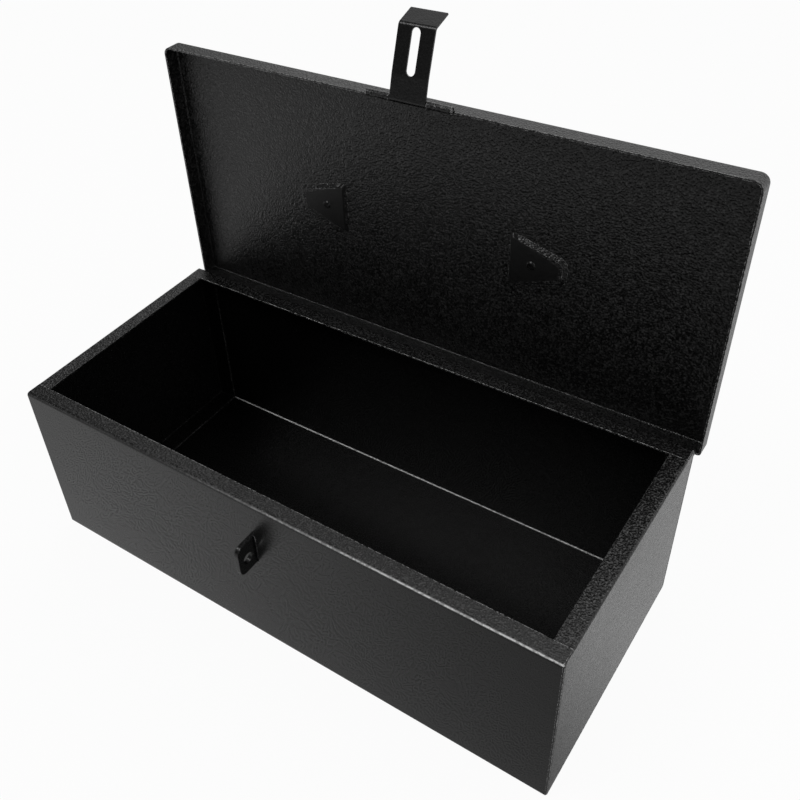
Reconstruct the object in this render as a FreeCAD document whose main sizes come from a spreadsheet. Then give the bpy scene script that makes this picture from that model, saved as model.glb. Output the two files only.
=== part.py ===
"""Portable sheet-steel toolbox with a hinged lid, a slotted hasp and a drop handle.

World frame: millimetres, origin at the centre of the box's underside, X along the
length, -Y towards the front, +Z up. The lid is modelled shut about the hinge axis
and placed standing open; the hasp is modelled hanging shut and placed folded up.
"""
import FreeCAD, Part
import Sketcher
import math
import os

os.makedirs("parts", exist_ok=True)

Vector = FreeCAD.Vector
Rotation = FreeCAD.Rotation
Placement = FreeCAD.Placement
ALONG_X = Vector(1, 0, 0)
ALONG_Z = Vector(0, 0, 1)

SIZES = {
    # The box: one folded wrap (front, floor, rear) and two pressed ends
    "body_length": 350.0,
    "body_depth": 157.0,
    "body_height": 114.0,
    "wall": 1.0,
    "bend_inside": 1.0,
    "rim_width": 10.0,
    "weld_flange": 14.0,
    "end_bend": 1.3,
    "end_corner": 2.0,
    "end_chamfer": 1.5,
    "cut_edge": 0.7,
    # The lid: a pressed pan that drops over the rim
    "lid_side_gap": 1.0,
    "lid_rear_gap": 2.8,
    "lid_seat_gap": 0.2,
    "skirt_depth": 10.6,
    "lid_front_corner": 5.0,
    "lid_bend": 2.0,
    "lid_open_angle": 90.0,
    # The hinge along the rear wall
    "hinge_offset": 4.9,
    "hinge_drop": 10.5,
    "hinge_end_gap": 14.0,
    "hinge_sheet": 1.0,
    "hinge_pin_radius": 1.1,
    "pin_clearance": 0.05,
    "knuckle_count": 11.0,
    "knuckle_gap": 0.4,
    "edge_gap": 0.35,
    "lid_leaf_height": 7.0,
    "body_leaf_height": 19.0,
    "stop_width": 9.0,
    "stop_inset": 3.0,
    "stop_foot": 4.0,
    "stop_gap": 0.05,
    # The hasp on the front skirt
    "hasp_place": -2.5,
    "hasp_width": 21.8,
    "hasp_sheet": 1.0,
    "hasp_pin_radius": 0.9,
    "hasp_side_gap": 0.35,
    "tongue_width": 14.5,
    "tongue_rise": 0.6,
    "tongue_slit": 0.8,
    "slit_depth": 2.0,
    "hasp_crank_at": 12.3,
    "hasp_crank_angle": 4.0,
    "hasp_reach": 35.6,
    "hasp_bend": 2.2,
    "hasp_lip": 11.0,
    "hasp_lip_angle": 54.0,
    "hasp_lean_angle": 14.5,
    "slot_width": 5.4,
    "slot_start": 12.4,
    "slot_length": 23.6,
    # The padlock staple, set through the front wall
    "staple_sheet": 2.5,
    "staple_side_shift": -0.6,
    "staple_height": 20.8,
    "staple_reach": 13.5,
    "staple_corner": 4.5,
    "staple_hole_radius": 3.4,
    "staple_hole_out": 6.4,
    "staple_hole_drop": 1.2,
    "staple_foot": 14.0,
    "staple_bend": 1.0,
    "staple_fit": 0.15,
    # The handle on the lid: two lugs in pressed recesses, two rivets, a wire bail
    "lug_place": 54.4,
    "recess_wide": 33.4,
    "recess_narrow": 14.4,
    "recess_length": 33.6,
    "recess_depth": 2.0,
    "recess_slope_angle": 48.0,
    "recess_corner": 5.2,
    "lug_sheet": 2.0,
    "lug_play": 0.4,
    "ear_height": 10.0,
    "ear_top_half": 6.0,
    "ear_corner": 5.4,
    "ear_bend": 1.0,
    "pivot_height": 4.4,
    "wire_radius": 3.0,
    "pivot_clearance": 0.08,
    "bail_side_play": 0.5,
    "bail_drop": 34.0,
    "bail_foot_bend": 5.5,
    "bail_grip_bend": 11.0,
    "bail_end_past": 2.2,
    "bail_head_radius": 3.9,
    "bail_head": 1.3,
    "rivet_place": 68.0,
    "rivet_radius": 2.0,
    "rivet_head_radius": 4.0,
    "rivet_shoulder": 3.6,
    "rivet_flat": 2.0,
    "rivet_head": 1.8,
    "rivet_inside_radius": 2.8,
    "rivet_inside_flat": 2.0,
    "rivet_inside": 0.8,
}

DERIVED = {
    # Places on the box
    "half_length": "body_length / 2",
    "half_depth": "body_depth / 2",
    "bend_outside": "bend_inside + wall",
    "hinge_y": "half_depth + hinge_offset",
    "hinge_z": "body_height - hinge_drop",
    "hinge_length": "body_length - 2 * hinge_end_gap",
    # The lid, measured from the hinge axis, front towards -Y
    "lid_half": "half_length + lid_side_gap + wall",
    "lid_front": "-(body_depth + hinge_offset + lid_side_gap + wall)",
    "lid_rear": "-(hinge_offset - lid_rear_gap - wall)",
    "lid_top": "hinge_drop + lid_seat_gap + wall",
    "lid_edge": "lid_top - skirt_depth",
    "lid_middle": "(lid_front + lid_rear) / 2",
    "pivot_z": "lid_top + pivot_height",
    # The recess: how its corners move when the outline grows, how far its sloping sides
    # run in, and how far the sheet's inside lies behind them
    "recess_flare": "(recess_wide - recess_narrow) / 2",
    "recess_side": "sqrt(recess_flare ^ 2 + recess_length ^ 2)",
    "wide_spread": "(recess_side + recess_flare) / recess_length",
    "narrow_spread": "(recess_side - recess_flare) / recess_length",
    "recess_run": "recess_depth * tan(recess_slope_angle * 1 deg)",
    "recess_back": "wall / cos(recess_slope_angle * 1 deg) - wall * tan(recess_slope_angle * 1 deg)",
    "lug_fit": "recess_run + lug_play",
    # The main hinge's knuckles
    "knuckle_bore": "hinge_pin_radius + pin_clearance",
    "knuckle_radius": "knuckle_bore + hinge_sheet",
    "knuckle_pitch": "hinge_length / knuckle_count",
    "knuckle_length": "knuckle_pitch - knuckle_gap",
    "knuckle_clear": "knuckle_radius + edge_gap",
    "crank_corner": "hinge_sheet * tan(22.5 deg)",
    # The hasp's knuckles, measured from the hinge axis of the shut lid
    "hasp_bore": "hasp_pin_radius + pin_clearance",
    "hasp_radius": "hasp_bore + hasp_sheet",
    "hasp_y": "lid_front + wall - hasp_radius",
    "hasp_z": "lid_edge - tongue_rise",
    "hasp_half": "hasp_width / 2",
    "tongue_start": "hasp_half + hasp_side_gap",
    "tongue_end": "tongue_start + tongue_width",
    # The staple, where the shut hasp's slot comes to lie
    "staple_x": "hasp_place + staple_side_shift",
    "staple_z": "hinge_z + hasp_z - slot_start - slot_length / 2",
    "staple_tip": "-(half_depth + staple_reach)",
}

doc = FreeCAD.newDocument("toolbox")
sheet = doc.addObject("Spreadsheet::Sheet", "Sizes")
pieces = []


def fill_sheet():
    """Write each size and each derived place into the sheet under its alias."""
    row = 0
    for alias, number in SIZES.items():
        row += 1
        sheet.set("A%d" % row, alias.replace("_", " "))
        sheet.set("B%d" % row, str(number))
        sheet.setAlias("B%d" % row, alias)
    doc.recompute()
    for alias, formula in DERIVED.items():
        row += 1
        sheet.set("A%d" % row, alias.replace("_", " "))
        sheet.set("B%d" % row, "=" + formula)
        sheet.setAlias("B%d" % row, alias)
        doc.recompute()


def value(formula):
    """The number that a formula of sheet aliases comes to."""
    found = sheet.evalExpression(str(formula))
    return float(getattr(found, "Value", found))


def bound(formula):
    """A formula of sheet aliases as other objects must write it."""
    words = str(formula).replace("(", " ( ").replace(")", " ) ").split()
    known = list(SIZES) + list(DERIVED)
    out = []
    for word in words:
        sign = "-" if word.startswith("-") and len(word) > 1 else ""
        bare = word[len(sign):]
        out.append(sign + ("Sizes." + bare if bare in known else bare))
    return " ".join(out)


def new_body(label):
    """Start a named piece."""
    body = doc.addObject("PartDesign::Body", label)
    body.Label = label
    pieces.append(body)
    return body


def sketch_on(body, role, offset="0"):
    """A sketch on one of the body's own origin planes, moved along its normal."""
    plane = [item for item in body.Origin.OriginFeatures if item.Role == role][0]
    sketch = body.newObject("Sketcher::SketchObject", "Sketch")
    sketch.AttachmentSupport = [(plane, "")]
    sketch.MapMode = "FlatFace"
    sketch.setExpression("AttachmentOffset.Base.z", bound(offset))
    return sketch


def hold(sketch, kind, *where_and_size):
    """Add a dimension whose last argument is a formula."""
    *where, formula = where_and_size
    number = sketch.addConstraint(Sketcher.Constraint(kind, *where, value(formula)))
    sketch.setExpression("Constraints[%d]" % number, bound(formula))


def hold_point(sketch, item, point, across, up):
    """Pin a point of the sketch at a pair of formulas."""
    hold(sketch, "DistanceX", item, point, across)
    hold(sketch, "DistanceY", item, point, up)


def outline(sketch, corners):
    """Close a straight-sided outline through corners given as pairs of formulas."""
    points = [Vector(value(across), value(up), 0) for across, up in corners]
    first = sketch.GeometryCount
    count = len(points)
    for place in range(count):
        sketch.addGeometry(Part.LineSegment(points[place], points[(place + 1) % count]), False)
    for place in range(count):
        following = first + (place + 1) % count
        sketch.addConstraint(Sketcher.Constraint("Coincident", first + place, 2, following, 1))
    for place, (across, up) in enumerate(corners):
        hold_point(sketch, first + place, 1, across, up)


def rounded_outline(sketch, corners, radius):
    """A straight-sided outline with every corner rounded, held by its sharp corners."""
    guide = sketch.GeometryCount
    outline(sketch, corners)
    count = len(corners)
    sharp = [Vector(value(across), value(up), 0) for across, up in corners]
    size = value(radius)
    starts = []
    ends = []
    arcs = []
    for place in range(count):
        sketch.setConstruction(guide + place, True)
        corner = sharp[place]
        back = (sharp[place - 1] - corner).normalize()
        on = (sharp[(place + 1) % count] - corner).normalize()
        half = back.getAngle(on) / 2
        reach = size / math.tan(half)
        towards = (back + on).normalize()
        centre = corner + towards * (size / math.sin(half))
        ends.append(corner + back * reach)
        starts.append(corner + on * reach)
        arc = Part.Arc(ends[-1], centre - towards * size, starts[-1])
        arcs.append(sketch.addGeometry(arc, False))
        hold(sketch, "Radius", arcs[-1], radius)
    forwards = (sharp[1] - sharp[0]).cross(sharp[2] - sharp[1]).z > 0
    arc_in, arc_out = (1, 2) if forwards else (2, 1)
    for place in range(count):
        following = (place + 1) % count
        line = sketch.addGeometry(Part.LineSegment(starts[place], ends[following]), False)
        for point in (1, 2):
            sketch.addConstraint(Sketcher.Constraint("PointOnObject", line, point, guide + place))
        for point, arc, end in ((1, arcs[place], arc_out), (2, arcs[following], arc_in)):
            sketch.addConstraint(Sketcher.Constraint("Tangent", line, point, arc, end))


def rectangle(sketch, left, right, low, high):
    """An upright rectangle between four formulas."""
    outline(sketch, [(left, low), (right, low), (right, high), (left, high)])


def circle(sketch, across, up, radius):
    """A circle with its centre and radius held by formulas."""
    centre = Vector(value(across), value(up), 0)
    item = sketch.addGeometry(Part.Circle(centre, ALONG_Z, value(radius)), False)
    hold_point(sketch, item, 3, across, up)
    hold(sketch, "Radius", item, radius)


def upright_slot(sketch, across, low, high, radius):
    """A slot with round ends between two end centres, one above the other."""
    x = value(across)
    size = value(radius)
    bottom = Part.Circle(Vector(x, value(low), 0), ALONG_Z, size)
    top = Part.Circle(Vector(x, value(high), 0), ALONG_Z, size)
    lower = sketch.addGeometry(Part.ArcOfCircle(bottom, math.pi, 2 * math.pi), False)
    right = sketch.addGeometry(
        Part.LineSegment(Vector(x + size, value(low), 0), Vector(x + size, value(high), 0)), False)
    upper = sketch.addGeometry(Part.ArcOfCircle(top, 0, math.pi), False)
    left = sketch.addGeometry(
        Part.LineSegment(Vector(x - size, value(high), 0), Vector(x - size, value(low), 0)), False)
    for one, end, other, start in ((lower, 2, right, 1), (right, 2, upper, 1),
                                   (upper, 2, left, 1), (left, 2, lower, 1)):
        sketch.addConstraint(Sketcher.Constraint("Tangent", one, end, other, start))
    hold_point(sketch, lower, 3, across, low)
    hold_point(sketch, upper, 3, across, high)
    hold(sketch, "Radius", lower, radius)


def strip_path(sketch, start, heading, legs):
    """Straight legs joined by round bends.

    start is a pair of formulas, heading the first leg's direction in degrees. Each leg
    is (length, turn, bend radius): the length of its straight part, then the turn to
    the left, in degrees, and the radius of the bend that makes it. The last leg has no
    turn.
    """
    here = Vector(value(start[0]), value(start[1]), 0)
    angle = heading
    last = None
    for length, turn, radius in legs:
        forward = Rotation(ALONG_Z, value(angle)).multVec(ALONG_X)
        there = here + forward * value(length)
        line = sketch.addGeometry(Part.LineSegment(here, there), False)
        if last is None:
            hold_point(sketch, line, 1, *start)
        else:
            sketch.addConstraint(Sketcher.Constraint("Tangent", last, last_end, line, 1))
        hold(sketch, "Distance", line, length)
        number = sketch.addConstraint(
            Sketcher.Constraint("Angle", line, forward.getAngle(ALONG_X) * (1 if forward.y >= 0 else -1)))
        sketch.setExpression("Constraints[%d]" % number, "(%s) * 1 deg" % bound(angle))
        here = there
        if turn is None:
            break
        side = 1 if value(turn) > 0 else -1
        left = Vector(-forward.y, forward.x, 0) * side
        centre = here + left * value(radius)
        spin = Rotation(ALONG_Z, value(turn))
        there = centre + spin.multVec(here - centre)
        middle = centre + Rotation(ALONG_Z, value(turn) / 2).multVec(here - centre)
        arc = sketch.addGeometry(Part.Arc(here, middle, there), False)
        arc_start, arc_end = (1, 2) if side > 0 else (2, 1)
        sketch.addConstraint(Sketcher.Constraint("Tangent", line, 2, arc, arc_start))
        hold(sketch, "Radius", arc, radius)
        last = arc
        last_end = arc_end
        here = there
        angle = "%s + %s" % (angle, turn)


def pad(body, sketch, length, both_ways=False, backwards=False, taper=None):
    """Build a sketch up by a length."""
    feature = body.newObject("PartDesign::Pad", "Pad")
    feature.Profile = sketch
    feature.setExpression("Length", bound(length))
    feature.SideType = "Symmetric" if both_ways else "One side"
    feature.Reversed = backwards
    if taper is not None:
        feature.setExpression("TaperAngle", bound(taper))
    doc.recompute()
    return feature


def pocket(body, sketch, length, both_ways=False, backwards=False, taper=None):
    """Cut a sketch in by a length and make sure that it takes something away."""
    before = body.Shape.Volume
    feature = body.newObject("PartDesign::Pocket", "Pocket")
    feature.Profile = sketch
    feature.setExpression("Length", bound(length))
    feature.SideType = "Symmetric" if both_ways else "One side"
    feature.Reversed = backwards
    if taper is not None:
        feature.setExpression("TaperAngle", bound(taper))
    doc.recompute()
    if not feature.Shape.Volume < before:
        raise RuntimeError("a pocket of %s cuts nothing" % body.Label)
    return feature


def edges_where(feature, test):
    """Names of the edges that pass a test."""
    return ["Edge%d" % number for number, edge in enumerate(feature.Shape.Edges, 1) if test(edge)]


def near(one, other):
    """Whether two numbers agree to a thousandth of a millimetre."""
    return abs(one - other) < 0.001


def runs_through(across, up, axis="x"):
    """A test for straight edges along an axis through a point of the plane square to it."""
    flat = [name for name in "xyz" if name != axis]

    def test(edge):
        box = edge.BoundBox
        low = [getattr(box, name.upper() + "Min") for name in flat]
        high = [getattr(box, name.upper() + "Max") for name in flat]
        target = (across, up)
        return all(near(low[i], target[i]) and near(high[i], target[i]) for i in (0, 1))

    return test


def round_edges(body, radius, *tests):
    """Fillet every edge that passes any of the tests."""
    names = []
    for test in tests:
        found = edges_where(body.Tip, test)
        if not found:
            raise RuntimeError("an edge to round is missing on %s" % body.Label)
        names += [name for name in found if name not in names]
    base = body.Tip
    feature = body.newObject("PartDesign::Fillet", "Fillet")
    feature.Base = (base, names)
    feature.setExpression("Radius", bound(radius))
    doc.recompute()
    return feature


def break_edges(body, size, *tests):
    """Chamfer every edge that passes any of the tests."""
    base = body.Tip
    names = [name for test in tests for name in edges_where(base, test)]
    feature = body.newObject("PartDesign::Chamfer", "Chamfer")
    feature.Base = (base, names)
    feature.setExpression("Size", bound(size))
    doc.recompute()
    return feature


def hollow(body, face_test):
    """Leave a wall of sheet inside the solid and open the face that passes the test."""
    base = body.Tip
    faces = ["Face%d" % number for number, face in enumerate(base.Shape.Faces, 1) if face_test(face)]
    feature = body.newObject("PartDesign::Thickness", "Hollow")
    feature.Base = (base, faces)
    feature.setExpression("Value", "Sizes.wall")
    feature.Reversed = True
    feature.Join = 0
    doc.recompute()
    return feature


def row_along_x(body, features, count, length):
    """Repeat features along X, the last copy a length away from the first."""
    pattern = body.newObject("PartDesign::LinearPattern", "Row")
    pattern.Originals = features
    axis = [item for item in body.Origin.OriginFeatures if item.Role == "X_Axis"][0]
    pattern.Direction = (axis, [""])
    pattern.setExpression("Length", bound(length))
    pattern.Occurrences = count
    body.Tip = pattern
    doc.recompute()
    return pattern


def body_wrap():
    """Front, floor and rear in one strip, with the rim turned in along both long sides."""
    body = new_body("body_wrap")
    profile = sketch_on(body, "YZ_Plane")
    outline(profile, [
        ("-half_depth", "0"),
        ("half_depth", "0"),
        ("half_depth", "body_height"),
        ("half_depth - rim_width", "body_height"),
        ("half_depth - rim_width", "body_height - wall"),
        ("half_depth - wall", "body_height - wall"),
        ("half_depth - wall", "wall"),
        ("-half_depth + wall", "wall"),
        ("-half_depth + wall", "body_height - wall"),
        ("-half_depth + rim_width", "body_height - wall"),
        ("-half_depth + rim_width", "body_height"),
        ("-half_depth", "body_height"),
    ])
    pad(body, profile, "body_length", both_ways=True)
    side = value("half_depth")
    top = value("body_height")
    wall = value("wall")
    outside = [(across, up) for across in (-side, side) for up in (0, top)]
    inside = [(across, up) for across in (wall - side, side - wall) for up in (wall, top - wall)]
    round_edges(body, "bend_outside", *[runs_through(*corner) for corner in outside])
    round_edges(body, "bend_inside", *[runs_through(*corner) for corner in inside])
    ends = [(across, side_y) for across in (-value("half_length"), value("half_length"))
            for side_y in (-side, side)]
    break_edges(body, "cut_edge", *[runs_through(*corner, "z") for corner in ends])
    slot = sketch_on(body, "XZ_Plane", "half_depth")
    rectangle(slot,
              "staple_x - staple_sheet / 2 - staple_fit",
              "staple_x + staple_sheet / 2 + staple_bend + staple_fit",
              "staple_z - staple_height / 2 - staple_fit",
              "staple_z + staple_height / 2 + staple_fit")
    pocket(body, slot, "wall * 2")


def end_panel(label, turned):
    """One end: a pressed pan whose flanges lie against the wrap, its top flange the rim's end."""
    body = new_body(label)
    block = sketch_on(body, "YZ_Plane", "half_length - weld_flange")
    rectangle(block, "-half_depth + wall", "half_depth - wall", "wall", "body_height")
    pad(body, block, "weld_flange")
    side = value("half_depth - wall")
    floor = value("wall")
    top = value("body_height")
    outer = value("half_length")
    inner = value("half_length - weld_flange")
    round_edges(body, "end_corner", runs_through(-side, floor), runs_through(side, floor))
    round_edges(body, "end_bend", lambda edge: near(edge.BoundBox.XMin, outer))
    hollow(body, lambda face: near(face.BoundBox.XMax, inner))
    corners = sketch_on(body, "YZ_Plane")
    for sign in ("", "-"):
        mark = "-1 * " if sign else ""
        outline(corners, [
            (mark + "( half_depth - rim_width )", "body_height - wall"),
            (mark + "( half_depth - wall - end_chamfer )", "body_height - wall"),
            (mark + "( half_depth - wall )", "body_height - wall - end_chamfer"),
            (mark + "( half_depth + wall )", "body_height - wall - end_chamfer"),
            (mark + "( half_depth + wall )", "body_height + wall"),
            (mark + "( half_depth - rim_width )", "body_height + wall"),
        ])
    pocket(body, corners, "body_length", backwards=True)
    rim = sketch_on(body, "XY_Plane", "body_height")
    rectangle(rim,
              "half_length - weld_flange - wall", "half_length - rim_width",
              "-half_depth + wall * 2", "half_depth - wall * 2")
    pocket(body, rim, "wall")
    if turned:
        body.Placement = Placement(Vector(), Rotation(ALONG_Z, 180))


def open_lid_place():
    """Where the lid's own frame, at the hinge axis, lies with the lid standing open."""
    return Placement(Vector(0, value("hinge_y"), value("hinge_z")),
                     Rotation(ALONG_X, -value("lid_open_angle")))


def seat_on_lid(body, own=Placement()):
    """Place a piece that is modelled in the shut lid's frame."""
    body.Placement = open_lid_place().multiply(own)


def recess_outline(sketch, margin, sign):
    """A handle recess seen from above: wide towards the middle, narrow towards the end."""
    mark = "-1 * " if sign < 0 else ""
    near_end = "( lug_place - %s )" % margin
    far_end = "( lug_place + recess_length + %s )" % margin
    wide = "( recess_wide / 2 + wide_spread * %s )" % margin
    narrow = "( recess_narrow / 2 + narrow_spread * %s )" % margin
    rounded_outline(sketch, [
        (mark + near_end, "lid_middle - " + wide),
        (mark + far_end, "lid_middle - " + narrow),
        (mark + far_end, "lid_middle + " + narrow),
        (mark + near_end, "lid_middle + " + wide),
    ], "recess_corner + " + margin)


def lid_shell():
    """The lid: a pressed pan with handle recesses, hasp tongues and two stop feet."""
    body = new_body("lid_shell")
    block = sketch_on(body, "XY_Plane", "lid_edge")
    rectangle(block, "-lid_half", "lid_half", "lid_front", "lid_rear")
    pad(body, block, "skirt_depth")
    half = value("lid_half")
    front = value("lid_front")
    rear = value("lid_rear")
    top = value("lid_top")
    edge_height = value("lid_edge")
    round_edges(body, "lid_front_corner",
                runs_through(-half, front, "z"), runs_through(half, front, "z"))
    round_edges(body, "lid_bend",
                runs_through(-half, rear, "z"), runs_through(half, rear, "z"))
    bump = sketch_on(body, "XY_Plane", "lid_top - wall - recess_depth")
    round_edges(body, "lid_bend", lambda edge: near(edge.BoundBox.ZMin, top))
    hollow(body, lambda face: near(face.BoundBox.ZMax, edge_height))
    for sign in (1, -1):
        recess_outline(bump, "( recess_back - recess_run )", sign)
    pad(body, bump, "recess_depth", taper="recess_slope_angle")
    recess = sketch_on(body, "XY_Plane", "lid_top")
    for sign in (1, -1):
        recess_outline(recess, "0", sign)
    pocket(body, recess, "recess_depth", taper="-recess_slope_angle")
    holes = sketch_on(body, "XY_Plane", "lid_top")
    for mark in ("", "-1 * "):
        circle(holes, mark + "rivet_place", "lid_middle", "rivet_radius + pin_clearance")
    pocket(body, holes, "recess_depth + wall * 3")
    window = sketch_on(body, "XY_Plane", "lid_edge")
    rectangle(window, "-hinge_length / 2 - edge_gap", "hinge_length / 2 + edge_gap",
              "lid_rear - wall - edge_gap", "lid_rear + wall")
    pocket(body, window, "knuckle_clear - lid_edge", backwards=True)
    add_stop_feet(body)
    add_tongues(body)
    seat_on_lid(body)


def add_stop_feet(body):
    """Feet at both ends of the rear skirt that lie flat on the rear wall when the lid stands open."""
    foot_low = "stop_gap - hinge_offset"
    for sign in (1, -1):
        middle = "%d * ( lid_half - stop_inset - stop_width / 2 )" % sign
        foot = sketch_on(body, "YZ_Plane", middle)
        outline(foot, [
            ("lid_rear - wall", "lid_edge + wall"),
            ("lid_rear - wall", foot_low),
            ("lid_rear - wall + stop_foot", foot_low),
            ("lid_rear - wall + stop_foot", foot_low + " + wall"),
            ("lid_rear", foot_low + " + wall"),
            ("lid_rear", "lid_edge + wall"),
        ])
        pad(body, foot, "stop_width", both_ways=True)
    low = value(foot_low)
    wall = value("wall")
    rear = value("lid_rear")
    round_edges(body, "bend_outside", runs_through(rear - wall, low))
    round_edges(body, "bend_inside", runs_through(rear, low + wall))


def add_tongues(body):
    """Two tongues of the front skirt, rolled into the hasp's outer knuckles."""
    notch = sketch_on(body, "XY_Plane", "lid_edge")
    rectangle(notch, "hasp_place - tongue_start", "hasp_place + tongue_start",
              "lid_front - wall", "lid_front + wall + edge_gap")
    pocket(body, notch, "hasp_z + hasp_radius + edge_gap - lid_edge", backwards=True)
    for sign in (1, -1):
        start = "hasp_place + %d * tongue_start" % sign
        end = "hasp_place + %d * tongue_end" % sign
        slit = sketch_on(body, "XY_Plane", "lid_edge")
        past = "hasp_place + %d * ( tongue_end + tongue_slit )" % sign
        rectangle(slit, end, past, "lid_front - wall", "lid_front + wall + edge_gap")
        pocket(body, slit, "slit_depth", backwards=True)
        middle = "( %s + %s ) / 2" % (start, end)
        tongue = sketch_on(body, "YZ_Plane", middle)
        rectangle(tongue, "lid_front", "lid_front + wall", "hasp_z", "lid_edge + wall")
        pad(body, tongue, "tongue_width", both_ways=True)
        roll = sketch_on(body, "YZ_Plane", middle)
        circle(roll, "hasp_y", "hasp_z", "hasp_radius")
        pad(body, roll, "tongue_width", both_ways=True)
    bore = sketch_on(body, "YZ_Plane", "hasp_place")
    circle(bore, "hasp_y", "hasp_z", "hasp_bore")
    pocket(body, bore, "tongue_end * 3", both_ways=True)


def hinge_knuckles(body, tail, first, count):
    """Every second knuckle along the pin, each a roll on a tail of the leaf."""
    place = "-hinge_length / 2 + ( %s + 0.5 ) * knuckle_pitch" % first
    stub = sketch_on(body, "YZ_Plane", place)
    rectangle(stub, *tail)
    first_stub = pad(body, stub, "knuckle_length", both_ways=True)
    roll = sketch_on(body, "YZ_Plane", place)
    circle(roll, "0", "0", "knuckle_radius")
    first_roll = pad(body, roll, "knuckle_length", both_ways=True)
    row_along_x(body, [first_stub, first_roll], count, "2 * knuckle_pitch * %d" % (count - 1))
    bore = sketch_on(body, "YZ_Plane")
    circle(bore, "0", "0", "knuckle_bore")
    pocket(body, bore, "hinge_length * 2", both_ways=True)


def hinge_lid_leaf():
    """The upper leaf, flat on the outside of the lid's rear skirt."""
    body = new_body("hinge_lid_leaf")
    leaf = sketch_on(body, "YZ_Plane")
    rectangle(leaf, "lid_rear", "lid_rear + hinge_sheet",
              "knuckle_clear", "knuckle_clear + lid_leaf_height")
    pad(body, leaf, "hinge_length - knuckle_gap", both_ways=True)
    count = int(value("knuckle_count")) // 2
    hinge_knuckles(body, ("lid_rear", "lid_rear + hinge_sheet", "0", "knuckle_clear"), 1, count)
    seat_on_lid(body)


def hinge_body_leaf():
    """The lower leaf: flat on the rear wall, then cranked out to the pin."""
    body = new_body("hinge_body_leaf")
    leaf = sketch_on(body, "YZ_Plane")
    step = "( hinge_offset - knuckle_radius )"
    outline(leaf, [
        ("-knuckle_radius", "-knuckle_clear"),
        ("-knuckle_radius", "-knuckle_clear - crank_corner"),
        ("-hinge_offset", "-knuckle_clear - crank_corner - " + step),
        ("-hinge_offset", "-body_leaf_height - knuckle_clear"),
        ("-hinge_offset + hinge_sheet", "-body_leaf_height - knuckle_clear"),
        ("-hinge_offset + hinge_sheet", "-knuckle_clear - crank_corner * 2 - " + step),
        ("-knuckle_radius + hinge_sheet", "-knuckle_clear - crank_corner * 2"),
        ("-knuckle_radius + hinge_sheet", "-knuckle_clear"),
    ])
    pad(body, leaf, "hinge_length - knuckle_gap", both_ways=True)
    count = int(value("knuckle_count")) // 2 + 1
    tail = ("-knuckle_radius", "-knuckle_radius + hinge_sheet", "-knuckle_clear", "0")
    hinge_knuckles(body, tail, 0, count)
    body.Placement = Placement(Vector(0, value("hinge_y"), value("hinge_z")), Rotation())


def pin(label, radius, length, place):
    """A plain pin with its ends broken."""
    body = new_body(label)
    round_section = sketch_on(body, "YZ_Plane")
    circle(round_section, "0", "0", radius)
    pad(body, round_section, length, both_ways=True)
    break_edges(body, radius + " / 4", lambda edge: edge.isClosed())
    body.Placement = place


def hasp_strap():
    """The hasp: a strip rolled round its pin, cranked, slotted and turned out at the tip."""
    body = new_body("hasp_strap")
    roll = sketch_on(body, "YZ_Plane")
    circle(roll, "0", "0", "hasp_radius")
    pad(body, roll, "hasp_width", both_ways=True)
    path = sketch_on(body, "YZ_Plane")
    middle = "hasp_radius - hasp_sheet / 2"
    strip_path(path, (middle, "0"), "-90", [
        ("hasp_crank_at", "-hasp_crank_angle", "hasp_bend"),
        ("hasp_reach - hasp_crank_at", "-hasp_lip_angle", "hasp_bend"),
        ("hasp_lip", None, None),
    ])
    section = sketch_on(body, "XY_Plane")
    rectangle(section, "-hasp_half", "hasp_half", "hasp_radius - hasp_sheet", "hasp_radius")
    strip = body.newObject("PartDesign::AdditivePipe", "Strip")
    strip.Profile = section
    strip.Spine = path
    doc.recompute()
    slot = sketch_on(body, "XZ_Plane")
    upright_slot(slot, "0", "-slot_start - slot_length + slot_width / 2",
                 "-slot_start - slot_width / 2", "slot_width / 2")
    pocket(body, slot, "hasp_reach", both_ways=True)
    bore = sketch_on(body, "YZ_Plane")
    circle(bore, "0", "0", "hasp_bore")
    pocket(body, bore, "hasp_width * 2", both_ways=True)
    body.Placement = hasp_place()


def hasp_place():
    """The hasp's own frame, at its pin, with the lid open and the hasp leaning back."""
    on_lid = Placement(Vector(value("hasp_place"), value("hasp_y"), value("hasp_z")),
                       Rotation(ALONG_X, -90 - value("hasp_lean_angle")))
    return open_lid_place().multiply(on_lid)


def padlock_staple():
    """An angle set through the front wall: a rounded plate outside, a foot on the inside."""
    body = new_body("padlock_staple")
    angle = sketch_on(body, "XY_Plane", "staple_z")
    left = "staple_x - staple_sheet / 2"
    right = "staple_x + staple_sheet / 2"
    inner = "-half_depth + wall"
    outline(angle, [
        (left, "staple_tip"),
        (right, "staple_tip"),
        (right, inner),
        (right + " + staple_foot", inner),
        (right + " + staple_foot", inner + " + staple_sheet"),
        (left, inner + " + staple_sheet"),
    ])
    pad(body, angle, "staple_height", both_ways=True)
    low = value("staple_z - staple_height / 2")
    high = value("staple_z + staple_height / 2")
    tip = value("staple_tip")
    round_edges(body, "staple_corner", runs_through(tip, low), runs_through(tip, high))
    round_edges(body, "staple_bend", runs_through(value(right), value(inner), "z"))
    round_edges(body, "staple_bend + staple_sheet",
                runs_through(value(left), value(inner + " + staple_sheet"), "z"))
    hole = sketch_on(body, "YZ_Plane", left)
    circle(hole, "-half_depth - staple_hole_out", "staple_z - staple_hole_drop",
           "staple_hole_radius")
    pocket(body, hole, "staple_sheet", backwards=True)


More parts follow.
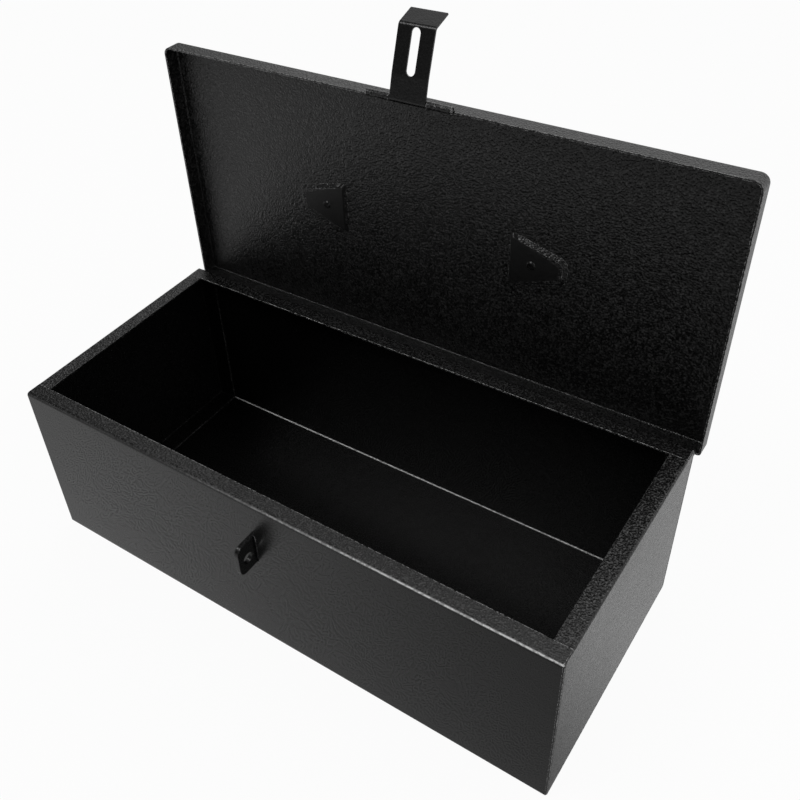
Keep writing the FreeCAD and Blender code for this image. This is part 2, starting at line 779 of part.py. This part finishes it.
def handle_lug(label, turned):
    """A lug that lies in a recess of the lid, with an ear bent up to hold the bail."""
    body = new_body(label)
    floor = "lid_top - recess_depth"
    plate = sketch_on(body, "XY_Plane", floor)
    recess_outline(plate, "( -1 * lug_fit )", 1)
    pad(body, plate, "lug_sheet")
    top = value(floor + " + lug_sheet")
    ear = sketch_on(body, "YZ_Plane", "lug_place + lug_fit")
    foot = "( recess_wide / 2 - wide_spread * recess_corner )"
    outline(ear, [
        ("lid_middle - " + foot, floor),
        ("lid_middle + " + foot, floor),
        ("lid_middle + " + foot, floor + " + lug_sheet"),
        ("lid_middle + ear_top_half", "lid_top + ear_height"),
        ("lid_middle - ear_top_half", "lid_top + ear_height"),
        ("lid_middle - " + foot, floor + " + lug_sheet"),
    ])
    pad(body, ear, "lug_sheet")
    crown = value("lid_top + ear_height")
    round_edges(body, "ear_corner",
                runs_through(value("lid_middle - ear_top_half"), crown),
                runs_through(value("lid_middle + ear_top_half"), crown))
    bend_x = value("lug_place + lug_fit + lug_sheet")
    round_edges(body, "ear_bend", runs_through(bend_x, top, "y"))
    hole = sketch_on(body, "YZ_Plane", "lug_place")
    circle(hole, "lid_middle", "pivot_z", "wire_radius + pivot_clearance")
    pocket(body, hole, "lug_sheet * 3", backwards=True)
    rivet_hole = sketch_on(body, "XY_Plane", "lid_top")
    circle(rivet_hole, "rivet_place", "lid_middle", "rivet_radius + pin_clearance")
    pocket(body, rivet_hole, "lug_sheet * 2")
    own = Placement()
    if turned:
        own = Placement(Vector(), Rotation(ALONG_Z, 180), Vector(0, value("lid_middle"), 0))
    seat_on_lid(body, own)


def handle_rivets():
    """One rivet through each lug and recess floor: a domed head outside, a low one inside."""
    body = new_body("handle_rivets")
    half = sketch_on(body, "XZ_Plane", "-1 * lid_middle")
    axis = "rivet_place"
    shank_low = "lid_top - recess_depth - wall"
    shank_high = "lid_top - recess_depth + lug_sheet"
    outline(half, [
        (axis, shank_low + " - rivet_inside"),
        (axis + " + rivet_inside_flat", shank_low + " - rivet_inside"),
        (axis + " + rivet_inside_radius", shank_low),
        (axis + " + rivet_radius", shank_low),
        (axis + " + rivet_radius", shank_high),
        (axis + " + rivet_head_radius", shank_high),
        (axis + " + rivet_shoulder", shank_high + " + rivet_head / 2"),
        (axis + " + rivet_flat", shank_high + " + rivet_head"),
        (axis, shank_high + " + rivet_head"),
    ])
    turn = body.newObject("PartDesign::Revolution", "Turned")
    turn.Profile = half
    turn.ReferenceAxis = (half, ["Edge%d" % half.GeometryCount])
    turn.Angle = 360
    doc.recompute()
    twin = body.newObject("PartDesign::Mirrored", "Twin")
    twin.Originals = [turn]
    twin.MirrorPlane = ([item for item in body.Origin.OriginFeatures
                         if item.Role == "YZ_Plane"][0], [""])
    body.Tip = twin
    doc.recompute()
    seat_on_lid(body)


def handle_bail():
    """The carrying bail: round wire bent square, its ends through the ears and headed over."""
    body = new_body("handle_bail")
    leg_x = "( lug_place + lug_fit - bail_side_play - bail_foot_bend )"
    end_x = "( lug_place + lug_fit + lug_sheet + bail_end_past )"
    path = sketch_on(body, "XY_Plane")
    grip = "2 * ( %s - bail_grip_bend )" % leg_x
    leg = "bail_drop - bail_foot_bend - bail_grip_bend"
    foot = "%s - ( %s + bail_foot_bend )" % (end_x, leg_x)
    strip_path(path, (end_x, "0"), "180", [
        (foot, "-90", "bail_foot_bend"),
        (leg, "90", "bail_grip_bend"),
        (grip, "90", "bail_grip_bend"),
        (leg, "-90", "bail_foot_bend"),
        (foot, None, None),
    ])
    section = sketch_on(body, "YZ_Plane", end_x)
    circle(section, "0", "0", "wire_radius")
    wire = body.newObject("PartDesign::AdditivePipe", "Wire")
    wire.Profile = section
    wire.Spine = path
    doc.recompute()
    for sign in (1, -1):
        head = sketch_on(body, "YZ_Plane", "%d * ( %s + bail_head / 2 )" % (sign, end_x))
        circle(head, "0", "0", "bail_head_radius")
        pad(body, head, "bail_head", both_ways=True)
    seat_on_lid(body, Placement(Vector(0, value("lid_middle"), value("pivot_z")), Rotation()))


def check_and_write():
    """Refuse anything failed or invalid, then write each piece to its own file."""
    doc.recompute()
    for item in doc.Objects:
        if "Invalid" in item.State or "Error" in item.State:
            raise RuntimeError("%s failed to build" % item.Label)
    for piece in pieces:
        shape = piece.Shape
        if shape.isNull() or not shape.isValid() or not shape.Solids:
            raise RuntimeError("%s has no sound shape" % piece.Label)
        print("%-20s solids %d  volume %.1f" % (piece.Label, len(shape.Solids), shape.Volume))
    for piece in pieces:
        piece.Shape.exportStep(os.path.join("parts", piece.Label + ".step"))


fill_sheet()
body_wrap()
end_panel("end_panel_right", turned=False)
end_panel("end_panel_left", turned=True)
hinge_body_leaf()
padlock_staple()
pin("hinge_pin", "hinge_pin_radius", "hinge_length + knuckle_gap * 2",
    Placement(Vector(0, value("hinge_y"), value("hinge_z")), Rotation()))
lid_shell()
hinge_lid_leaf()
handle_lug("handle_lug_right", turned=False)
handle_lug("handle_lug_left", turned=True)
handle_rivets()
hasp_strap()
pin("hasp_pin", "hasp_pin_radius", "tongue_end * 2", hasp_place())
handle_bail()
check_and_write()
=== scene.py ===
"""Looks of the black powder-coated toolbox: coats, light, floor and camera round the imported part."""

import math

import bmesh
import bpy
from mathutils import Matrix, Vector


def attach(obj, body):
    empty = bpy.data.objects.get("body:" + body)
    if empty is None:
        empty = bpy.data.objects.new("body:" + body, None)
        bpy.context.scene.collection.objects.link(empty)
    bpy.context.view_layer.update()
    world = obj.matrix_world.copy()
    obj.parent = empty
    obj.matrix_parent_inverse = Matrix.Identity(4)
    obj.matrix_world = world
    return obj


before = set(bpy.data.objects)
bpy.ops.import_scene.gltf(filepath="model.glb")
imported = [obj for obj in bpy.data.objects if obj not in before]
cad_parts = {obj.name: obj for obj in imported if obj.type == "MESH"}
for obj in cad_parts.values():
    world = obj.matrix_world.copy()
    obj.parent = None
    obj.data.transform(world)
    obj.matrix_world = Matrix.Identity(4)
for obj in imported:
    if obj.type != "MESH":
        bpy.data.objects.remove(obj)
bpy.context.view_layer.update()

MM = 0.001


# Shader writing

class Shade:
    """One output socket of a material; arithmetic on it adds the nodes that do the sum."""

    def __init__(self, paint, socket):
        self.paint = paint
        self.socket = socket

    def _sum(self, operation, *values):
        return self.paint.add("ShaderNodeMath", {"operation": operation}, values)

    def __add__(self, other):
        return self._sum("ADD", self, other)

    __radd__ = __add__

    def __sub__(self, other):
        return self._sum("SUBTRACT", self, other)

    def __rsub__(self, other):
        return self._sum("SUBTRACT", other, self)

    def __mul__(self, other):
        return self._sum("MULTIPLY", self, other)

    __rmul__ = __mul__

    def clamped(self):
        """Held between 0 and 1."""
        return self.paint.add("ShaderNodeClamp", {}, [self, 0.0, 1.0])

    def ramp(self, low, high):
        """0 at low, 1 at high, smooth between."""
        return self.paint.add("ShaderNodeMapRange", {"interpolation_type": "SMOOTHSTEP"},
                              [self, low, high, 0.0, 1.0], output="Result")


class Paint:
    """A material with one Principled shader."""

    def __init__(self, name, **constants):
        self.material = bpy.data.materials.new(name)
        self.material.use_nodes = True
        self.tree = self.material.node_tree
        self.end = "Material Output"
        self.shader = self.tree.nodes["Principled BSDF"]
        for socket, number in constants.items():
            self.shader.inputs[socket.replace("_", " ")].default_value = number

    def node(self, kind, settings=None, values=()):
        """Add a node: its settings first, then the numbers or links of its sockets."""
        node = self.tree.nodes.new(kind)
        for name, setting in (settings or {}).items():
            if name == "stops":
                ramp = node.color_ramp
                while len(ramp.elements) < len(setting):
                    ramp.elements.new(0.5)
                for element, (place, colour) in zip(ramp.elements, setting):
                    element.position = place
                    element.color = (*colour, 1.0)
            else:
                setattr(node, name, setting)
        pairs = values.items() if isinstance(values, dict) else enumerate(values)
        for key, given in pairs:
            if isinstance(given, Shade):
                self.tree.links.new(given.socket, node.inputs[key])
            else:
                node.inputs[key].default_value = given
        return node

    def add(self, kind, settings=None, values=(), output=0):
        """Add a node and return one of its outputs."""
        return Shade(self, self.node(kind, settings, values).outputs[output])

    def place(self):
        """The point on the piece, in the piece's own metres."""
        return self.add("ShaderNodeTexCoord", output="Object")

    def split(self, vector):
        """The three numbers of a vector."""
        parts = self.node("ShaderNodeSeparateXYZ", {}, [vector])
        return [Shade(self, socket) for socket in parts.outputs]

    def noise(self, size_mm, detail):
        """Noise whose grains are about size_mm across."""
        return self.add("ShaderNodeTexNoise", {},
                        {"Vector": self.place(), "Scale": 1.0 / (size_mm * MM), "Detail": detail},
                        output="Fac")

    def cells(self, size_mm):
        """Distance from the middles of cells about size_mm across."""
        return self.add("ShaderNodeTexVoronoi", {},
                        {"Vector": self.place(), "Scale": 1.0 / (size_mm * MM)}, output="Distance")

    def eased(self, radius_mm):
        """The surface's direction with its edges rounded by radius_mm."""
        return self.add("ShaderNodeBevel", {"samples": 6}, {"Radius": radius_mm * MM}, output="Normal")

    def edge(self, reach_mm):
        """Near 0 on flat sheet, up towards 1 along an edge or a tight bend."""
        flat = self.add("ShaderNodeNewGeometry", output="Normal")
        return 1.0 - self.add("ShaderNodeVectorMath", {"operation": "DOT_PRODUCT"},
                              [flat, self.eased(reach_mm)], output="Value")

    def colour(self, mask, *stops):
        """A colour that follows a mask through the given stops."""
        return self.add("ShaderNodeValToRGB", {"stops": stops}, [mask], output="Color")

    def relief(self, height, depth_mm, **under):
        """Bump from a height of 0 to 1 that stands for depth_mm, over another one if it is given."""
        return self.add("ShaderNodeBump", {}, {"Height": height, "Distance": depth_mm * MM, **under})

    def drive(self, socket, shade):
        """Let a value that changes over the surface feed a socket of the shader."""
        self.tree.links.new(shade.socket, self.shader.inputs[socket])

    def shown(self, shader):
        """Make a shader the one that the surface shows."""
        self.tree.links.new(shader.socket, self.tree.nodes[self.end].inputs["Surface"])


def grey(level):
    """A colour without a hue."""
    return (level,) * 3


# The powder coat. Sizes and depths are in millimetres

EDGE_ROUND = 0.45
EDGE_REACH = 0.65
WAVE_SIZE, WAVE_DEPTH = 7.0, 0.08
DRIFT_SIZE = 60.0
DOT_SIZE = 1.6
PIT_TO_GRAIN = 1.5
COAT_BLACK, COAT_DARK, COAT_GRIT = 0.0018, 0.0030, 0.0042

# Places on the box in metres, each with where it begins and where it is full
RIM_TOP = (0.1136, 0.1139)
REAR_BEND, FLOOR_BEND = (0.0766, 0.0771), (-0.0019, -0.0014)
FRONT_BEND, TOP_BEND = (0.0773, 0.0778), (0.1128, 0.1133)
# The painted highlight on the front bend grows towards the right, where the light falls on it, and is
# weakest at the left
TOWARDS_RIGHT = (-0.08, 0.13)
FRONT_HIGHLIGHT_LEAST = 0.08
RUN_SMOOTH = 0.35
# Share of the pale grain tips kept off the rim's top; on the top they are painted sparkle, where the
# light falls
GRIT_AND_SPARKLE_OFF_RIM = 0.6


def powder_coat(name, grain, depth, roughness, highlight_grey, grit_and_glint=COAT_GRIT, box_part=None):
    """Black powder coat: dense melted grains over a slow waviness, with painted highlights in a pale
    colour along the edges, and pale grain tips that are partly grain tone and partly painted glints.

    box_part is "end" or "wrap" for the pieces that form the rim: on them the pale grain tips, which are
    painted sparkle, show on the rim's top alone. On the wrap the grains have also run smoother below the
    rim, and a painted highlight runs along the front bend, stronger towards the right, and along the
    rear bend.
    """
    coat = Paint(name, IOR=1.5, Specular_IOR_Level=0.5)
    grains = coat.noise(grain, detail=0.0)
    pits = coat.cells(grain * PIT_TO_GRAIN)
    drift = coat.noise(DRIFT_SIZE, detail=3.0)
    height = grains * 0.7 + pits * 0.3
    speck = grains * 0.9 + drift * 0.1
    # Painted highlight: a pale colour along edges and tight bends, found by the bevel and broken into
    # dots, standing in for the glints that edges catch
    dots = coat.noise(DOT_SIZE, detail=1.0).ramp(0.36, 0.60)
    painted_highlight = coat.edge(EDGE_REACH).ramp(0.02, 0.18) * dots
    if box_part:
        along, across, up = coat.split(coat.place())
        on_rim = up.ramp(*RIM_TOP)
        # Painted sparkle: the pale grain tips show fully only on the rim's top, which faces the light,
        # and weaker elsewhere
        speck = speck * (GRIT_AND_SPARKLE_OFF_RIM + (1.0 - GRIT_AND_SPARKLE_OFF_RIM) * on_rim)
    if box_part == "wrap":
        height = height * (RUN_SMOOTH + (1.0 - RUN_SMOOTH) * on_rim)
        # Painted highlights along the rear foot bend and the front top bend, mixed in with the painted
        # edge highlights
        rear_bend_highlight = across.ramp(*REAR_BEND) * (0.0 - up).ramp(*FLOOR_BEND)
        highlight_to_right = FRONT_HIGHLIGHT_LEAST + (1.0 - FRONT_HIGHLIGHT_LEAST) * along.ramp(*TOWARDS_RIGHT)
        front_bend_highlight = (0.0 - across).ramp(*FRONT_BEND) * up.ramp(*TOP_BEND) * highlight_to_right
        painted_highlight = (painted_highlight + (rear_bend_highlight + front_bend_highlight) * (0.5 + 0.5 * dots)).clamped()
    waves = coat.relief(coat.noise(WAVE_SIZE, detail=2.0), WAVE_DEPTH, Normal=coat.eased(EDGE_ROUND))
    coat.drive("Normal", coat.relief(height, depth, Normal=waves))
    coat.drive("Roughness", (roughness + (grains - 0.5) * 0.15 + (drift - 0.5) * 0.08).clamped())
    # The palest stop is grain tone and, where it is raised, painted glints on the grain tips
    black = coat.colour(speck, (0.25, grey(COAT_BLACK)), (0.5, grey(COAT_DARK)), (0.8, grey(grit_and_glint)))
    # Base colour: the black coat, with the pale colour of the painted highlights mixed over it
    coat.drive("Base Color", coat.add("ShaderNodeMix", {"data_type": "RGBA"},
                                      {0: painted_highlight, 6: black, 7: (*grey(highlight_grey), 1.0)}, output=2))
    return coat.material


def drawn_steel(name):
    """Bare wire: bright, with fine lines along its length."""
    steel = Paint(name, Metallic=1.0)
    along, across, up = steel.split(steel.place())
    drawn = steel.add("ShaderNodeCombineXYZ", {}, [along * 0.05, across, up], output="Vector")
    lines = steel.add("ShaderNodeTexNoise", {}, {"Vector": drawn, "Scale": 6000.0, "Detail": 2.0},
                      output="Fac")
    stain = steel.noise(9.0, detail=3.0)
    steel.drive("Base Color", steel.colour(stain, (0.3, (0.30, 0.29, 0.28)), (0.75, (0.46, 0.46, 0.47))))
    steel.drive("Roughness", 0.30 + lines * 0.15)
    steel.drive("Normal", steel.relief(lines, 0.02))
    return steel.material


# Each coat's highlight grey is the pale colour of its painted highlights along edges and bends
COATS = {
    # The raised pale grain tips of the wall, rim and lid coats are painted glints
    "wall": powder_coat("wall_coat", grain=0.9, depth=0.22, roughness=0.27, highlight_grey=0.90, grit_and_glint=0.06,
                        box_part="wrap"),
    "rim": powder_coat("end_coat", grain=0.9, depth=0.46, roughness=0.28, highlight_grey=0.20, grit_and_glint=0.12,
                       box_part="end"),
    "lid": powder_coat("lid_coat", grain=0.9, depth=0.48, roughness=0.31, highlight_grey=0.60, grit_and_glint=0.045),
    "press": powder_coat("press_coat", grain=0.9, depth=0.10, roughness=0.38, highlight_grey=0.01),
    "fitting": powder_coat("fitting_coat", grain=1.0, depth=0.06, roughness=0.28, highlight_grey=0.05),
    "steel": drawn_steel("drawn_steel"),
}

COAT_OF = {
    "body_wrap": "wall",
    "end_panel_left": "rim",
    "end_panel_right": "rim",
    "hinge_body_leaf": "fitting",
    "hinge_lid_leaf": "fitting",
    "hinge_pin": "steel",
    "padlock_staple": "fitting",
    "lid_shell": "lid",
    "hasp_pin": "steel",
    "hasp_strap": "fitting",
    "handle_lug_left": "fitting",
    "handle_lug_right": "fitting",
    "handle_rivets": "fitting",
    "handle_bail": "fitting",
}

for node, coat in COAT_OF.items():
    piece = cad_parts[node]
    piece.data.materials.clear()
    piece.data.materials.append(COATS[coat])


# The pressed backs of the two handle recesses, sharp at the wide end and round at the narrow one.
# All sizes are in millimetres

LID_INSIDE = 94.1
PRESS_SUNK = 0.05
PRESS_FACE = 92.04
PRESS_MIDDLE = 186.0
WIDE_X, NARROW_X = 54.4, 88.0
WIDE_HALF, NARROW_HALF = 16.7, 7.2
# How far the half widths grow for each millimetre of margin
WIDE_SPREAD, NARROW_SPREAD = 1.32, 0.76
# Margin, then the corner radius at the wide end and at the narrow end
PRESS_FOOT = (0.50, 1.6, 5.4)
PRESS_FLAT = (-1.74, 0.8, 3.3)
ARC_STEPS = 8


def rounded(corners):
    """Points round an outline whose corners are given as (across, up, radius)."""
    points = []
    for number, (across, up, radius) in enumerate(corners):
        corner = Vector((across, up))
        back = (Vector(corners[number - 1][:2]) - corner).normalized()
        on = (Vector(corners[(number + 1) % len(corners)][:2]) - corner).normalized()
        half = back.angle(on) / 2
        centre = corner + (back + on).normalized() * radius / math.sin(half)
        start = corner + back * radius / math.tan(half) - centre
        end = corner + on * radius / math.tan(half) - centre
        for step in range(ARC_STEPS + 1):
            points.append(centre + start.slerp(end, step / ARC_STEPS))
    return points


def press_outline(side, margin, wide_radius, narrow_radius):
    """The recess seen from inside the lid, grown by a margin."""
    wide = WIDE_HALF + WIDE_SPREAD * margin
    narrow = NARROW_HALF + NARROW_SPREAD * margin
    near, far = side * (WIDE_X - margin), side * (NARROW_X + margin)
    return rounded([(near, -wide, wide_radius), (far, -narrow, narrow_radius),
                    (far, narrow, narrow_radius), (near, wide, wide_radius)])


def recess_press(name, side):
    """The form that a recess presses up on the inside of the lid: sloping sides and a flat."""
    foot = press_outline(side, *PRESS_FOOT)
    flat = press_outline(side, *PRESS_FLAT)
    count = len(foot)
    places = [(x, LID_INSIDE + PRESS_SUNK, PRESS_MIDDLE + z) for x, z in foot]
    places += [(x, PRESS_FACE, PRESS_MIDDLE + z) for x, z in flat]
    faces = [(i, (i + 1) % count, count + (i + 1) % count, count + i) for i in range(count)]
    faces += [tuple(range(count, 2 * count)), tuple(range(count - 1, -1, -1))]
    mesh = bpy.data.meshes.new(name)
    mesh.from_pydata([tuple(number * MM for number in place) for place in places], [], faces)
    work = bmesh.new()
    work.from_mesh(mesh)
    bmesh.ops.recalc_face_normals(work, faces=work.faces)
    work.to_mesh(mesh)
    work.free()
    piece = bpy.data.objects.new(name, mesh)
    bpy.context.collection.objects.link(piece)
    mesh.materials.append(COATS["press"])
    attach(piece, "lid")


recess_press("recess_press_right", 1)
recess_press("recess_press_left", -1)


# Camera, solved from the straight edges of the box in the photograph

EYE = (0.254505, -0.315729, 0.478715)
TURN_AXIS = (2.2011211, 0.6646550, -0.3974366)
FOCAL = 967.9084
MIDDLE = (339.7527, 384.2224)
PICTURE = 800.0
SENSOR = 36.0


def camera_turn():
    """The camera's turn, from the turn axis whose length is the angle in radians."""
    axis = Vector(TURN_AXIS)
    to_camera = Matrix.Rotation(axis.length, 3, axis.normalized())
    return to_camera.transposed() @ Matrix.Diagonal((1.0, -1.0, -1.0))


view_data = bpy.data.cameras.new("view")
view_data.sensor_width = SENSOR
view_data.lens = FOCAL / PICTURE * SENSOR
view_data.shift_x = (PICTURE / 2 - MIDDLE[0]) / PICTURE
view_data.shift_y = (MIDDLE[1] - PICTURE / 2) / PICTURE
view_data.clip_start = 0.01
view_data.clip_end = 50.0
viewer = bpy.data.objects.new("view", view_data)
bpy.context.collection.objects.link(viewer)
viewer.matrix_world = Matrix.Translation(EYE) @ camera_turn().to_4x4()
bpy.context.scene.camera = viewer


# Floor

WHITE = (1.0, 1.0, 1.0, 1.0)
FLOOR_SIZE = 16.0
FLOOR_DROP = 0.0004
FLOOR_WHITE = 0.95
# How bright the floor is in the coat's gloss: at the left, what it loses towards the right, and
# what it gains behind the box, with the metres between which each change runs
MIRRORED_LEFT = 0.56
MIRRORED_FALL, FALL_REACH = 0.28, (-0.20, 0.20)
MIRRORED_BEHIND, BEHIND_REACH = 0.46, (-0.10, 0.05)


def floor_paint():
    """A pale floor: white to the eye; seen in the gloss it is dimmer before the box than behind it."""
    paint = Paint("floor_paint", Roughness=0.9, Specular_IOR_Level=0.1)
    speckle = paint.noise(3.0, detail=2.0)
    paint.drive("Base Color", paint.colour(speckle, (0.3, grey(0.90)), (0.7, grey(0.93))))
    along, across = paint.split(paint.place())[:2]
    mirrored = (MIRRORED_LEFT - along.ramp(*FALL_REACH) * MIRRORED_FALL
                + across.ramp(*BEHIND_REACH) * MIRRORED_BEHIND)
    rays = paint.node("ShaderNodeLightPath")
    to_camera, in_mirror, through_glass = (
        Shade(paint, rays.outputs[kind])
        for kind in ("Is Camera Ray", "Is Glossy Ray", "Is Transmission Ray"))
    white = paint.add("ShaderNodeEmission", {}, {"Color": WHITE, "Strength": 1.0})
    unlit = paint.add("ShaderNodeEmission", {}, {"Color": WHITE, "Strength": 0.0})
    in_gloss = paint.add("ShaderNodeMixShader", {}, [mirrored.clamped(), unlit, white])
    to_eye = paint.add("ShaderNodeMixShader", {},
                       [(to_camera + through_glass).clamped() * FLOOR_WHITE,
                        Shade(paint, paint.shader.outputs[0]), white])
    paint.shown(paint.add("ShaderNodeMixShader", {}, [in_mirror, to_eye, in_gloss]))
    return paint.material


bpy.ops.mesh.primitive_plane_add(size=FLOOR_SIZE, location=(0.0, 0.0, -FLOOR_DROP))
floor = bpy.context.object
floor.name = "floor"
floor.data.materials.append(floor_paint())


# Surroundings: white to the eye, and in the gloss a dim studio with a white card behind the box

SKY_DIM = 0.12
CARD_LIGHT = 0.9
CARD_FOOT = (0.30, 0.50)
CARD_LEFT = (-0.72, -0.60)


class Sky(Paint):
    """The world's own shader tree, written in the same way."""

    def __init__(self, name):
        self.world = bpy.data.worlds.new(name)
        self.world.use_nodes = True
        self.tree = self.world.node_tree
        self.end = "World Output"


sky = Sky("studio")
bpy.context.scene.world = sky.world
across, back = sky.split(sky.add("ShaderNodeTexCoord", output="Generated"))[:2]
card = back.ramp(*CARD_FOOT) * across.ramp(*CARD_LEFT)
dark_studio = sky.add("ShaderNodeBackground", {}, {"Color": WHITE, "Strength": SKY_DIM})
white_card = sky.add("ShaderNodeBackground", {}, {"Color": WHITE, "Strength": CARD_LIGHT})
studio = sky.add("ShaderNodeMixShader", {}, [card, dark_studio, white_card])
bright = sky.add("ShaderNodeBackground", {}, {"Color": WHITE, "Strength": 1.0})
to_camera = sky.add("ShaderNodeLightPath", output="Is Camera Ray")
sky.shown(sky.add("ShaderNodeMixShader", {}, [to_camera, studio, bright]))


# Lamps

def soft_lamp(name, place, target, size, power):
    """A soft lamp, its size given along and across, aimed at a point."""
    data = bpy.data.lights.new(name, "AREA")
    data.shape = "RECTANGLE"
    data.size, data.size_y = size
    data.energy = power
    lamp = bpy.data.objects.new(name, data)
    bpy.context.collection.objects.link(lamp)
    aim = Vector(target) - Vector(place)
    lamp.matrix_world = Matrix.Translation(place) @ aim.to_track_quat("-Z", "Y").to_matrix().to_4x4()


soft_lamp("right_lamp", (1.6, -0.2, 0.9), (0.1, 0.0, 0.1), (1.2, 1.2), 7.0)
soft_lamp("key_lamp", (-0.6, -0.8, 1.8), (0.0, 0.0, 0.1), (1.0, 0.5), 10.0)
soft_lamp("top_lamp", (-0.1, 0.5, 2.0), (0.0, 0.0, 0.1), (0.6, 0.6), 2.0)

bpy.context.scene.view_settings.view_transform = "Standard"
